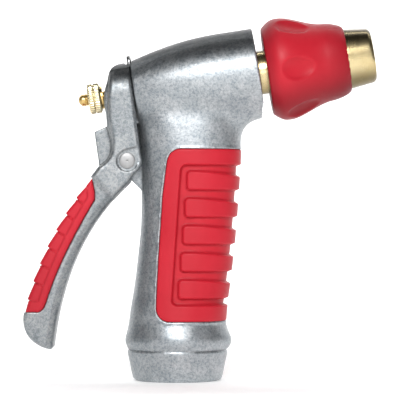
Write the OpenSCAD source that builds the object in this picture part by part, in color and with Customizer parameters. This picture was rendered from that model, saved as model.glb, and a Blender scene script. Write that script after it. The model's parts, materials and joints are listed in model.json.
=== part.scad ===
// Metal pistol hose spray nozzle with a rear squeeze trigger and a twist nozzle.
// The origin is the centre of the hose inlet's mouth; +Z is up and +X is the way the water leaves.

/* [Barrel] */
// Height of the barrel's axis above the inlet mouth, over the origin
axis_h = 111.8; // [110:0.2:114]
// Upward tilt of the barrel
tilt = 8.9; // [7:0.1:10]
// Radius of the barrel at its front
barrel_r = 17.1; // [16.6:0.1:17.6]
// Radius of the barrel's rear face
barrel_rear_r = 11.9; // [11.5:0.1:12.2]

/* [Grip] */
// Radius of the base collar
collar_r = 19; // [18.5:0.1:19.5]
// Radius of the hose thread at its crests
inlet_r = 12.2; // [12:0.1:12.4]
// Depth of the hose socket
inlet_depth = 11; // [10:0.5:12]
// Thickness of the rubber grip insert
insert_t = 2.4; // [2:0.1:2.8]
// Number of raised pads on the grip insert
pad_count = 5; // [3:1:5]

/* [Trigger] */
// Place of the pivot pin, forward and up
pivot = [-18.8, 83.2]; // [-20:0.1:84]
// Half the width of the trigger across its cheeks
lever_half_w = 11.6; // [11:0.1:12]
// Half the gap between the cheeks
cheek_gap = 8.5; // [8.3:0.1:9]
// Radius of the pivot pin
pin_r = 2; // [1.8:0.1:2.2]

/* [Stem and nut] */
// Radius of the stem
stem_r = 2.38; // [2.3:0.01:2.4]
// Radius of the flow nut
nut_r = 5.7; // [5.5:0.1:6]
// Diameter of the hold open clip's wire
clip_wire = 1.7; // [1.6:0.1:1.8]

/* [Twist nozzle] */
// Largest radius of the twist grip
grip_r = 19.4; // [19:0.1:19.6]
// Radius of the brass tip at its outlet
outlet_r = 10.1; // [9.8:0.1:10.4]
// Number of finger dimples round the twist grip
dimples = 6; // [5:1:7]

/* [Hidden] */
$fn = 64;
fit = 0.05;
barrel_back = -16.5;
recess_floor = -15.8;
clip_plane = -16.75;
barrel_front = 31;
wall_end = -4.2;
seat_u = 14.2;

// --- Curves ---

// Points along a cubic curve with two end points and two control points
function curve(a, b, c, d, n = 10) = [for (i = [0:n]) let (t = i / n)
    a * (1 - t) ^ 3 + b * 3 * t * (1 - t) ^ 2 + c * 3 * t * t * (1 - t) + d * t ^ 3];
// Points along an arc
function arc(centre, r, from, to, n = 6) = [for (i = [0:n]) let (w = from + (to - from) * i / n)
    centre + r * [cos(w), sin(w)]];
// The reverse of a list
function backwards(p) = [for (i = [len(p) - 1:-1:0]) p[i]];

// --- Placing ---

// Puts a shape whose axis is Z on the barrel's axis, pointing forward
module on_barrel() {
    translate([0, 0, axis_h]) rotate([0, 90 - tilt, 0]) children();
}

// A ring about the local Z axis
module ring(inner, outer, from, to) {
    rotate_extrude() translate([inner, from]) square([outer - inner, to - from]);
}

// A side outline of [forward, up] points, made thick across the object
module slab(points, half_w) {
    rotate([90, 0, 0]) linear_extrude(2 * half_w, center = true) polygon(points);
}

// --- Handle surface ---

// Height, front, rear and half depth of the handle's sections
handle = [
    [12.4, 18.9, -18.9, 18.9], [14, 20.2, -19.7, 19.4], [15.8, 20.5, -19.8, 19.4],
    [18.2, 19.6, -19.2, 18.8], [22, 18.5, -18.4, 17.8], [30, 19.2, -17.2, 17.0],
    [40, 20.5, -15.8, 16.4], [50, 21.6, -14.7, 16.0], [60, 22.5, -13.9, 15.6],
    [70, 23.2, -13.6, 15.2], [80, 23.8, -13.6, 14.9], [90, 24.3, -14.0, 14.6],
    [99, 25.0, -15.0, 13.5], [106, 24.0, -14.2, 11.5]];
ring_sides = 40;
section_power = 2.4;

// One point of a section: a rounded oval, full at its sides
function handle_point(s, k, inset) = let (
        w = 360 * k / ring_sides, mid = (s[1] + s[2]) / 2, long = (s[1] - s[2]) / 2 - inset,
        deep = s[3] - inset, p = 2 / (s[0] < 20 ? 2 : section_power))
    [mid + long * sign(cos(w)) * abs(cos(w)) ^ p, deep * sign(sin(w)) * abs(sin(w)) ^ p, s[0]];

// The handle as a closed loft, drawn in by inset all round
module handle_loft(inset = 0) {
    rows = len(handle);
    points = [for (s = handle) for (k = [0:ring_sides - 1]) handle_point(s, k, inset)];
    walls = [for (r = [0:rows - 2]) for (k = [0:ring_sides - 1]) let (
            a = r * ring_sides + k, b = r * ring_sides + (k + 1) % ring_sides)
        each [[a, a + ring_sides, b], [b, a + ring_sides, b + ring_sides]]];
    bottom = [for (k = [0:ring_sides - 1]) k];
    top = [for (k = [ring_sides - 1:-1:0]) (rows - 1) * ring_sides + k];
    polyhedron(points, concat([bottom], walls, [top]));
}

// Side outline of the grip insert, with round corners at the back
function insert_outline(e) = concat(
    [[30, 22.8 - e], [30, 87.6 + e]],
    arc([1.4, 82.6], 5 + e, 90, 183, 5), arc([-2.8, 27.8], 5 + e, 183, 270, 5));
// Side outline of the sunken field of the insert
function field_outline() = concat(
    [[30, 28.5], [30, 82]], arc([3.6, 79.4], 2.6, 90, 183, 4), arc([0.2, 31.1], 2.6, 183, 270, 4));

// --- Cast body ---

module barrel_shape() {
    side = curve([barrel_rear_r, barrel_back], [14.2, -7.5], [barrel_r, 3], [barrel_r, 18], 12);
    on_barrel() rotate_extrude()
        polygon(concat([[0, barrel_back]], side, [[barrel_r, barrel_front], [0, barrel_front]]));
}

module collar_shape() {
    edge = arc([14.7, 2.5], 2.5, -90, -10, 5);
    flare = [[17.6, 4], [18.5, 8.5], [collar_r, 11.2], [18.6, 11.6], [18.9, 12.4]];
    rotate_extrude() polygon(concat([[0, 0]], edge, flare, [[0, 12.4]]));
}

// The lug between the trigger's cheeks that the pivot pin goes through
module pivot_lug() {
    slab([[-8, 99], [-16.2, 98.2], [-18.6, 92], [-21.6, 86.6], [-21.9, 80.2], [-16.9, 75.7],
        [-13.3, 72.1], [-8, 68]], 5);
    translate([pivot.x, 0, pivot.y]) rotate([90, 0, 0])
        cylinder(r = 4.4, h = 2 * cheek_gap - 0.6, center = true);
}

// Skirt behind the barrel that runs down to the lug, round the gland
module back_skirt() {
    on_barrel() translate([0, 0, -18.1]) cylinder(r = 7.4, h = 6);
    slab([[-10, 112], [-17.8, 110.8], [-15.3, 97.2], [-8, 97.2]], 6.7);
}

// The room inside the skirt where the clip moves, with a gap at its top for the loop
module clip_room() {
    on_barrel() translate([0, 0, -20]) {
        cylinder(r = 6, h = 20 + recess_floor);
        translate([-20, -4.2, 0]) cube([20, 8.4, 20 + recess_floor]);
    }
    slab([[-15.75, 110.5], [-22, 110.5], [-22, 99.5], [-14.05, 99.5]], 5.6);
}

module body_casting() {
    color("silver") difference() {
        union() {
            difference() {
                handle_loft();
                difference() {
                    slab(insert_outline(0.15), 30);
                    handle_loft(insert_t + 0.2);
                }
            }
            barrel_shape();
            collar_shape();
            pivot_lug();
            back_skirt();
        }
        // Hose socket, washer seat and the water way up the handle
        translate([0, 0, -1]) cylinder(r = inlet_r, h = inlet_depth + 1);
        translate([0, 0, inlet_depth]) cylinder(r = 13.2, h = 2.4);
        translate([3.6, 0, inlet_depth]) cylinder(r = 6.3, h = axis_h - inlet_depth - 2);
        // Valve chamber, neck socket, packing bore and gland socket
        on_barrel() {
            translate([0, 0, wall_end]) cylinder(r = 5.5, h = 30);
            translate([0, 0, 13]) cylinder(r = 7.2, h = 30);
            translate([0, 0, -7.4]) cylinder(r = 4.2, h = 2);
            translate([0, 0, -10]) cylinder(r = stem_r + 0.1, h = 10);
            translate([0, 0, -16.8]) cylinder(r = 5.5, h = 9.4);
        }
        clip_room();
        translate([pivot.x, 0, pivot.y]) rotate([90, 0, 0])
            cylinder(r = pin_r + 0.02, h = 60, center = true);
    }
}

module grip_insert() {
    pitch = 10.2;
    color("crimson") difference() {
        intersection() {
            handle_loft(-0.25);
            slab(insert_outline(0), 30);
        }
        handle_loft(insert_t);
        // The sunken field round the raised pads
        difference() {
            slab(field_outline(), 30);
            handle_loft(1.4);
            for (i = [0:pad_count - 1])
                slab([[30, 30.2 + i * pitch], [30, 38 + i * pitch],
                    [1.4 + i * 0.6, 38.9 + i * pitch], [0.6 + i * 0.6, 31.2 + i * pitch]], 30);
        }
    }
}

module hose_washer() {
    color("black") ring(8, 13.1, inlet_depth + 0.1, inlet_depth + 2.3);
}

// --- Fixed pieces in the barrel ---

module pivot_pin() {
    color("gainsboro") translate([pivot.x, 0, pivot.y]) rotate([90, 0, 0]) {
        cylinder(r = pin_r, h = 2 * lever_half_w - 1, center = true);
        for (side = [0, 180]) rotate([side, 0, 0]) translate([0, 0, lever_half_w - 0.75])
            rotate_extrude() polygon(concat([[0, 0]], arc([0, 0.2], 2.8, 0, 90, 5) - [[0, 0], [0, 0.25],
                [0, 0.5], [0, 0.75], [0, 1.1], [0, 1.5]]));
    }
}

module gland_bushing() {
    color("goldenrod") on_barrel() difference() {
        translate([0, 0, -15.6]) cylinder(r = 5.45, h = 7.6);
        translate([0, 0, -20]) cylinder(r = stem_r + fit, h = 20);
        translate([-0.6, -6, -16]) cube([1.2, 12, 1.2]);
    }
}

module gland_washer() {
    color("goldenrod") on_barrel() ring(stem_r + fit, 5.4, -7.98, -7.42);
}

module stem_packing() {
    color("black") on_barrel() ring(stem_r + fit, 4.15, -7.38, -5.45);
}

module nozzle_neck() {
    color("gold") on_barrel() rotate_extrude() polygon([
        [4.4, seat_u + 0.02], [7.15, seat_u + 0.02], [7.15, barrel_front - 0.5], [6.6, barrel_front - 0.3],
        [6.6, barrel_front], [8.1, barrel_front + 0.02], [8.35, barrel_front + 0.3], [8.35, 35.6],
        [7.9, 36], [6.6, 36.2], [6.6, 37], [7, 37.4], [7, 47.6], [6.6, 48], [6.2, 48.4], [6.2, 56.6],
        [5.8, 57], [4.4, 57]]);
}

module neck_gasket() {
    color("black") on_barrel() ring(5.2, 7.15, 13.02, seat_u);
}

module return_spring() {
    turns = 6.5;
    steps = 14;
    wire_r = 0.4;
    coil_r = 4.3;
    from = wall_end + wire_r + 0.1;
    rise = (9 - wire_r - 0.1 - from) / turns;
    rows = turns * steps;
    points = [for (i = [0:rows]) for (k = [0:5]) let (w = 360 * i / steps, a = 60 * k)
        [(coil_r + wire_r * cos(a)) * cos(w), (coil_r + wire_r * cos(a)) * sin(w),
            from + rise * w / 360 + wire_r * sin(a)]];
    walls = [for (i = [0:rows - 1]) for (k = [0:5]) let (a = i * 6 + k, b = i * 6 + (k + 1) % 6)
        each [[a, b, a + 6], [b, b + 6, a + 6]]];
    color("lightgray") on_barrel() polyhedron(points, concat([[5, 4, 3, 2, 1, 0]], walls,
        [[for (k = [0:5]) rows * 6 + k]]));
}

// --- Trigger ---

lever_inner = curve([-18.2, 75], [-36.5, 57.4], [-44, 37.3], [-46.9, 12.9], 14);
lever_back = curve([-31.8, 77.8], [-45.3, 60.9], [-52.9, 45.7], [-57.6, 26.6], 14);
lever_tip = curve([-57.6, 26.6], [-59.6, 19.2], [-55.1, 13.4], [-47.7, 12], 8);
pad_edge = curve([-31, 68.4], [-38.6, 55.8], [-45.3, 43.1], [-49.6, 28.9], 10);

// Side outline of the whole trigger below the pivot
function arm_outline() = concat([[-24, 82]], lever_back, lever_tip, backwards(lever_inner));
// Side outline of the rubber pad: its back edge, its bottom corner and its edge along the arm
function pad_outline(e) = concat(lever_back, [[-57.6, 26.2 - e], [-53.8, 26.2 - e]],
    arc([-53.4, 29.8], 3.8 + e, -80, -10, 4), backwards(pad_edge) + [for (i = [0:10]) [e, 0]],
    [[-30.7 + e, 72], [-31.3 + e, 76]]);
// The arm's metal under the pad, drawn in from the back edge
function core_outline() = concat([[-24, 80], [-30.6, 74]],
    curve([-31.8, 73.4], [-42.9, 59.2], [-50.2, 44.7], [-54.6, 27], 10), [[-54.6, 24], [-48, 24]],
    backwards([for (i = [0:11]) lever_inner[i]]));

// Side outline of the trigger above the pivot
function head_outline() = concat([[-18.5, 120.9], [-20.2, 120.6]],
    curve([-20.2, 120.6], [-23.4, 119.8], [-25.4, 118.8], [-26.1, 115.4], 5),
    curve([-26.6, 113], [-28.1, 108.6], [-28.1, 105.2], [-27, 101], 8),
    curve([-26.6, 96.1], [-24.2, 89.2], [-23.4, 85.8], [-27.9, 80.6], 6),
    [[-29.5, 80.9], [-31.8, 77.8], [-24.4, 69], [-18.2, 75.1]], arc(pivot, 5.5, -62, 24, 6));
function web_outline() = [[-31.5, 94.2], [-26, 96.6], [-24, 82], [-28.9, 79], [-29.6, 80.6]];

module trigger_lever() {
    color("silver") difference() {
        union() {
            // Head: its round top follows the barrel's end
            intersection() {
                slab(head_outline(), lever_half_w);
                union() {
                    on_barrel() translate([0, 0, -40]) cylinder(r = 12.2, h = 40);
                    translate([-60, -lever_half_w, 0]) cube([60, 2 * lever_half_w, axis_h - 2]);
                }
            }
            slab(web_outline(), 1.6);
            difference() {
                slab(arm_outline(), 10.6);
                slab(pad_outline(0.15), 30);
            }
            slab(core_outline(), 9.2);
        }
        // Channel between the cheeks, open to the front
        difference() {
            union() {
                on_barrel() translate([0, 0, -24.6]) cylinder(r = 9.4, h = 30);
                translate([-24.6, -cheek_gap, 73]) cube([30, 2 * cheek_gap, axis_h - 73]);
            }
            slab([[-40, 96.5], [-24.3, 96.5], [-21.2, 76], [-21, 60], [-40, 60]], 20);
        }
        translate([pivot.x, 0, pivot.y]) rotate([90, 0, 0]) {
            cylinder(r = 5.4, h = 2 * cheek_gap, center = true);
            cylinder(r = pin_r + fit, h = 60, center = true);
            for (side = [0, 180]) rotate([side, 0, 0]) translate([0, 0, lever_half_w - 0.8])
                cylinder(r = 3.8, h = 5);
        }
        // Slot for the stem, longer upward because the head swings on an arc
        on_barrel() {
            for (rise = [0, 2.6]) translate([-rise, 0, -40]) cylinder(r = 2.9, h = 30);
            translate([-2.6, -2.9, -40]) cube([2.6, 5.8, 30]);
        }
        // Notch for the clip in the top of the head
        on_barrel() translate([-20, -4, -18.6]) cube([12, 8, 10]);
    }
}

module lever_pad() {
    color("crimson") difference() {
        slab(pad_outline(0), lever_half_w);
        slab(core_outline(), 9.35);
        // Saw tooth steps across the back of the pad
        for (i = [1:6]) let (p = lever_back[2 * i], q = lever_back[2 * i + 1])
            slab([p, p + 0.12 * (q - p) + [1.3, -0.8], q], 30);
    }
}

// --- Stem and valve ---

module stem_rod() {
    lock_r = 1.6;
    color("goldenrod") on_barrel() rotate_extrude() polygon(concat(
        arc([0, -35.62], stem_r, -90, 0, 5),
        [[stem_r, -18.1], [lock_r, -18], [lock_r, -15.4], [stem_r, -15.3],
            [stem_r, -11.6], [lock_r, -11.5], [lock_r, -8.9], [stem_r, -8.8],
            [stem_r, seat_u], [3.3, seat_u + 0.02], [3.3, 15.2], [2, 16.4], [2, 63],
            [4.1, 66.4], [4.1, 67.2], [1, 71.6], [0, 71.8]]));
}

module spring_collar() {
    color("goldenrod") on_barrel() ring(stem_r, 4.9, 9, 11.2);
}

module backing_washer() {
    color("lightgray") on_barrel() ring(stem_r, 4.7, 11.22, 12.18);
}

module valve_washer() {
    color("black") on_barrel() ring(stem_r, 4.9, 12.2, seat_u - 0.01);
}

module thrust_washer() {
    color("goldenrod") on_barrel() ring(stem_r + fit, 4.3, -29.2, -28.6);
}

module flow_nut() {
    back = -34.2;
    front = -29.25;
    color("gold") on_barrel() difference() {
        rotate_extrude() polygon([[stem_r + fit, back], [nut_r - 0.6, back], [nut_r, back + 0.5],
            [nut_r, back + 2], [nut_r - 0.5, back + 2.3], [nut_r, back + 2.6], [nut_r, back + 4.3],
            [4.6, front], [stem_r + fit, front]]);
        for (i = [0:29]) rotate(i * 12) translate([nut_r + 0.15, 0, back - 1])
            rotate(45) cube([0.5, 0.5, 12], center = false);
    }
}

// --- Hold open clip ---

// Half of the clip's centre line, from the foot of a leg to the top, as [side, up]
function clip_half() = concat([[3.55, -6], [3.55, 3.4], [2.55, 5.2]], arc([0, 11.15], 2.55, 0, 90, 7));

module hold_open_clip() {
    wire = clip_wire / 2;
    sides = 12;
    half = clip_half();
    path = concat(half, [for (i = [len(half) - 2:-1:0]) [-half[i].x, half[i].y]]);
    last = len(path) - 1;
    points = [for (i = [0:last]) let (
            way = path[min(i + 1, last)] - path[max(i - 1, 0)], out = [way.y, -way.x] / norm(way))
        for (k = [0:sides - 1]) let (w = 360 * k / sides, c = path[i] + out * wire * cos(w))
            [-c.y, c.x, wire * sin(w)]];
    walls = [for (i = [0:last - 1]) for (k = [0:sides - 1]) let (
            a = i * sides + k, b = i * sides + (k + 1) % sides)
        each [[a, a + sides, b], [b, a + sides, b + sides]]];
    foot = [for (k = [0:sides - 1]) k];
    end = [for (k = [sides - 1:-1:0]) last * sides + k];
    color("lightgray") on_barrel() translate([0, 0, clip_plane])
        polyhedron(points, concat([foot], walls, [end]));
}

// --- Twist nozzle ---

module tip_o_ring() {
    color("black") on_barrel() rotate_extrude() translate([7.1, 53.1]) circle(0.85, $fn = 24);
}

module brass_tip() {
    color("gold") on_barrel() rotate_extrude() polygon(concat([
        [7.08, 39], [10, 39], [10, 40], [9.4, 40], [9.4, 41.2], [10, 41.2], [10, 62], [11.5, 62]],
        [[11.5, 65], [outlet_r + 0.2, 74]], arc([outlet_r - 0.8, 74.2], 0.9, 0, 90, 4),
        [[8.4, 75.1], [8.2, 74.9], [5, 70], [5, 68.6], [6.3, 66], [6.3, 54.3], [8, 54.3],
            [8, 51.9], [6.3, 51.9], [6.3, 50.6], [7.08, 50.4]]));
}

module grip_ring() {
    color("lightgray") on_barrel() difference() {
        ring(9.45, 10.9, 40.05, 41.15);
        translate([0, -1.5, 39]) cube([20, 3, 4]);
    }
}

module twist_grip() {
    back = 34.3;
    flank = concat(curve([16.2, back], [18, back + 1.2], [grip_r, 37.5], [grip_r, 40.6], 7),
        curve([grip_r, 41], [grip_r, 45.5], [15.4, 51.5], [14.8, 56.8], 8),
        curve([14.7, 58], [14.3, 61.5], [12.9, 64.8], [11.75, 65.3], 5));
    color("crimson") on_barrel() difference() {
        rotate_extrude() polygon(concat([[8.8, back]], flank, [[11.56, 65.3], [11.56, 61.95],
            [10.06, 61.95], [10.06, 41.4], [11.1, 41.4], [11.1, 38.5], [8.8, 38.5]]));
        for (i = [0:dimples - 1]) rotate(94 + i * 360 / dimples) translate([25.4, 0, 46.8])
            sphere(9.4);
    }
}

body_casting();
grip_insert();
hose_washer();
pivot_pin();
gland_bushing();
gland_washer();
stem_packing();
nozzle_neck();
neck_gasket();
return_spring();
trigger_lever();
lever_pad();
stem_rod();
spring_collar();
backing_washer();
valve_washer();
thrust_washer();
flow_nut();
hold_open_clip();
tip_o_ring();
brass_tip();
twist_grip();
grip_ring();
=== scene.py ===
"""Hose spray nozzle: the looks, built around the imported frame. Lengths inside are millimetres."""
import json
import math
from functools import reduce

import bpy
import numpy as np
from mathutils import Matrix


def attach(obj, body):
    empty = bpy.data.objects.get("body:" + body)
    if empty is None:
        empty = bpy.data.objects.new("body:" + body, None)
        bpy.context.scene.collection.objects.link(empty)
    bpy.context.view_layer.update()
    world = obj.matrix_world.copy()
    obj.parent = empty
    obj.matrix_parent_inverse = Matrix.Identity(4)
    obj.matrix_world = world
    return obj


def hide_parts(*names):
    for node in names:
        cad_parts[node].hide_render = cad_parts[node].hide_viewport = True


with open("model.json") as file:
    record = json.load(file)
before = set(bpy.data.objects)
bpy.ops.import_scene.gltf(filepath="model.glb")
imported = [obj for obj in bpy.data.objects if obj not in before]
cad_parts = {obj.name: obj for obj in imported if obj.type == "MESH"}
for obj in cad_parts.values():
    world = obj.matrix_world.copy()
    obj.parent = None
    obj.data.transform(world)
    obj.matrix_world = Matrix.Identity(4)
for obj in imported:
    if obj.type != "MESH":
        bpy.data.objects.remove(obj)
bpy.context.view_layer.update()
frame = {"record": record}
MM = 0.001
JOINTS = {j["name"]: j for j in frame["record"]["behaviour"]["joints"]}

# The barrel's axis comes from the twist joint: its slope, and its height over the origin
FORWARD = np.array(JOINTS["twist_turn"]["axis"])
ON_AXIS = np.array(JOINTS["twist_turn"]["pos_m"]) / MM
COS, SIN = FORWARD[0], FORWARD[2]
AXIS_H = ON_AXIS[2] - ON_AXIS[0] * SIN / COS
PIVOT = np.array(JOINTS["trigger_pivot"]["pos_m"])[[0, 2]] / MM
BARREL_BACK, BARREL_FRONT = -16.5, 31.0
BARREL_R, BARREL_BACK_R = 17.1, 11.8


# --- Curves ---

def curve(a, b, c, d, count=14):
    """Points along a cubic curve with two end points and two control points."""
    t = np.linspace(0, 1, count + 1)[:, None]
    a, b, c, d = (np.array(p, float) for p in (a, b, c, d))
    return a * (1 - t) ** 3 + b * 3 * t * (1 - t) ** 2 + c * 3 * t * t * (1 - t) + d * t ** 3


def arc(centre, radius, start, end, count=10):
    """Points along an arc, angles in degrees."""
    w = np.radians(np.linspace(start, end, count + 1))
    return np.array(centre) + radius * np.c_[np.cos(w), np.sin(w)]


def smooth_table(rows, count=400):
    """Stations joined by a smooth curve, as a dense table whose first column is where each row lies."""
    rows = np.array(rows, float)
    at = rows[:, 0]
    slope = np.gradient(rows, at, axis=0)
    where = np.linspace(at[0], at[-1], count)
    i = np.clip(np.searchsorted(at, where) - 1, 0, len(at) - 2)
    gap = (at[i + 1] - at[i])[:, None]
    t = (where - at[i])[:, None] / gap
    out = ((1 + 2 * t) * (1 - t) ** 2 * rows[i] + t * (1 - t) ** 2 * gap * slope[i]
           + t * t * (3 - 2 * t) * rows[i + 1] + t * t * (t - 1) * gap * slope[i + 1])
    out[:, 0] = where
    return out


# --- Distance fields ---

def both(a, b, radius=0.0):
    """Where both shapes are, with an outer edge of this radius."""
    if not radius:
        return np.maximum(a, b)
    p, q = np.maximum(radius + a, 0), np.maximum(radius + b, 0)
    return np.minimum(-radius, np.maximum(a, b)) + np.sqrt(p * p + q * q)


def either(a, b, radius=0.0):
    """Either shape, with an inner fillet of this size."""
    if np.all(np.equal(radius, 0)):
        return np.minimum(a, b)
    h = np.maximum(radius - np.abs(a - b), 0) / radius
    return np.minimum(a, b) - h * h * h * radius / 6


def without(a, b, radius=0.0):
    """The first shape less the second."""
    return both(a, -b, radius)


def between(value, low, high):
    return np.maximum(low - value, value - high)


def step_up(value, width):
    """0 below zero, 1 above the width, smooth between."""
    t = np.clip(value / width, 0, 1)
    return t * t * (3 - 2 * t)


def outline(px, pz, points):
    """Signed distance to a closed outline in the side plane."""
    points = np.asarray(points, float)
    best = None
    inside = None
    for (ax, az), (bx, bz) in zip(points, np.roll(points, -1, axis=0)):
        ex, ez = bx - ax, bz - az
        length = ex * ex + ez * ez
        if length < 1e-9:
            continue
        wx, wz = px - ax, pz - az
        t = np.clip((wx * ex + wz * ez) / length, 0, 1)
        d = (wx - t * ex) ** 2 + (wz - t * ez) ** 2
        best = d if best is None else np.minimum(best, d)
        crosses = ((az > pz) != (bz > pz)) & (px < ex * (pz - az) / (ez if ez else 1e-9) + ax)
        inside = crosses if inside is None else inside ^ crosses
    return np.where(inside, -1, 1) * np.sqrt(best)


def barrel_frame(x, z):
    """Along the barrel, and up from its axis."""
    return x * COS + (z - AXIS_H) * SIN, (z - AXIS_H) * COS - x * SIN


def turned(u, rho, profile):
    """Distance to a turned shape given by [along, radius] stations."""
    profile = np.asarray(profile)
    return rho - np.interp(u, profile[:, 0], profile[:, 1])


# --- From a field to a mesh ---

def mesh_field(field, low, high, cell):
    """Surface of a distance field, as points and four sided faces."""
    low = np.array(low, float)
    size = np.ceil((np.array(high) - low) / cell).astype(int) + 1
    x, y, z = (low[a] + cell * np.arange(size[a]) for a in range(3))
    value = np.broadcast_to(field(x[:, None, None], y[None, :, None], z[None, None, :]), size)
    cells = size - 1
    total = int(np.prod(cells))
    sums, count = np.zeros((total, 3)), np.zeros(total)
    edges = []
    for axis in range(3):
        a = value[tuple(slice(None, -1) if i == axis else slice(None) for i in range(3))]
        b = value[tuple(slice(1, None) if i == axis else slice(None) for i in range(3))]
        at = np.argwhere((a < 0) != (b < 0))
        va, vb = a[tuple(at.T)], b[tuple(at.T)]
        point = at.astype(float)
        point[:, axis] += va / (va - vb)
        p, q = [i for i in range(3) if i != axis]
        ring, good = [], np.ones(len(at), bool)
        for dp, dq in ((0, 0), (-1, 0), (-1, -1), (0, -1)):
            spot = at.copy()
            spot[:, p] += dp
            spot[:, q] += dq
            good &= ((spot >= 0) & (spot < cells)).all(1)
            ring.append((spot[:, 0] * cells[1] + spot[:, 1]) * cells[2] + spot[:, 2])
        ring = np.array(ring).T[good]
        point, va = point[good], va[good]
        for corner in range(4):
            count += np.bincount(ring[:, corner], minlength=total)
            for i in range(3):
                sums[:, i] += np.bincount(ring[:, corner], point[:, i], minlength=total)
        turn = (va < 0) if axis != 1 else (va > 0)
        ring[~turn] = ring[~turn][:, ::-1]
        edges.append(ring)
    used = np.flatnonzero(count)
    index = np.full(total, -1)
    index[used] = np.arange(len(used))
    points = low + cell * sums[used] / count[used, None]
    faces = index[np.concatenate(edges)]
    nudge = 0.02
    for _ in range(3):
        here = field(*points.T)
        ahead = [field(*(points + nudge * one_way).T) for one_way in np.eye(3)]
        slope = (np.stack(ahead, 1) - here[:, None]) / nudge
        move = here[:, None] * slope / np.maximum((slope ** 2).sum(1), 0.2)[:, None]
        far = np.linalg.norm(move, axis=1, keepdims=True)
        points = points - move * np.minimum(1, 0.5 * cell / np.maximum(far, 1e-9))
    return points, faces


def add_piece(name, points, faces, body, material, replaces=()):
    """One mesh object, in metres, riding on its body."""
    mesh = bpy.data.meshes.new(name)
    faces = np.asarray(faces)
    mesh.vertices.add(len(points))
    mesh.vertices.foreach_set("co", (np.asarray(points) * MM).astype(np.float32).ravel())
    sides = faces.shape[1]
    mesh.loops.add(faces.size)
    mesh.loops.foreach_set("vertex_index", faces.astype(np.int32).ravel())
    mesh.polygons.add(len(faces))
    mesh.polygons.foreach_set("loop_start", np.arange(0, faces.size, sides, dtype=np.int32))
    mesh.polygons.foreach_set("use_smooth", np.ones(len(faces), bool))
    mesh.update(calc_edges=True)
    mesh.validate()
    mesh.materials.append(material)
    piece = bpy.data.objects.new(name, mesh)
    bpy.context.scene.collection.objects.link(piece)
    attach(piece, body)
    if replaces:
        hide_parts(*replaces)
    return piece


def field_piece(name, field, low, high, cell, body, material, replaces=()):
    points, faces = mesh_field(field, low, high, cell)
    return add_piece(name, points, faces, body, material, replaces)


def lathe_piece(name, profile, body, material, replaces=(), segments=96, ripple=None, across=False):
    """A turned piece on the barrel's axis, or across the pivot. The profile is a closed ring of
    [along, radius] points; ripple(along, radius, angle) returns a changed radius."""
    profile = np.array(profile, float)
    w = np.linspace(0, 2 * np.pi, segments, endpoint=False)
    u = np.repeat(profile[:, 0], segments)
    r = np.repeat(profile[:, 1], segments)
    w = np.tile(w, len(profile))
    if ripple:
        r = ripple(u, r, w)
    p, q = r * np.cos(w), r * np.sin(w)
    if across:
        points = np.c_[PIVOT[0] + p, u, PIVOT[1] + q]
    else:
        points = np.c_[u * COS - q * SIN, p, AXIS_H + u * SIN + q * COS]
    i = np.arange(len(profile))[:, None] * segments
    j = np.arange(segments)[None, :]
    nxt = ((np.arange(len(profile)) + 1) % len(profile))[:, None] * segments
    k = (j + 1) % segments
    faces = np.stack([i + j, i + k, nxt + k, nxt + j], -1).reshape(-1, 4)
    if across:
        faces = faces[:, ::-1]
    return add_piece(name, points, faces, body, material, replaces)


def rounded(points, radius, count=4):
    """A closed profile with every corner rounded, each corner no further than half its sides."""
    points = np.array(points, float)
    out = []
    for before, here, after in zip(np.roll(points, 1, axis=0), points, np.roll(points, -1, axis=0)):
        a, b = before - here, after - here
        la, lb = np.linalg.norm(a), np.linalg.norm(b)
        cut = min(radius, 0.45 * la, 0.45 * lb)
        p, q = here + a / la * cut, here + b / lb * cut
        for t in np.linspace(0, 1, count):
            out.append((1 - t) ** 2 * p + 2 * t * (1 - t) * here + t * t * q)
    return np.array(out)


def filled(profile, longest=1.2):
    """A closed profile with long stretches divided."""
    profile = np.array(profile, float)
    out = []
    for a, b in zip(profile, np.roll(profile, -1, axis=0)):
        parts = max(1, int(np.ceil(np.linalg.norm(b - a) / longest)))
        out += [a + (b - a) * i / parts for i in range(parts)]
    return np.array(out)


# --- Materials ---

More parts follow.
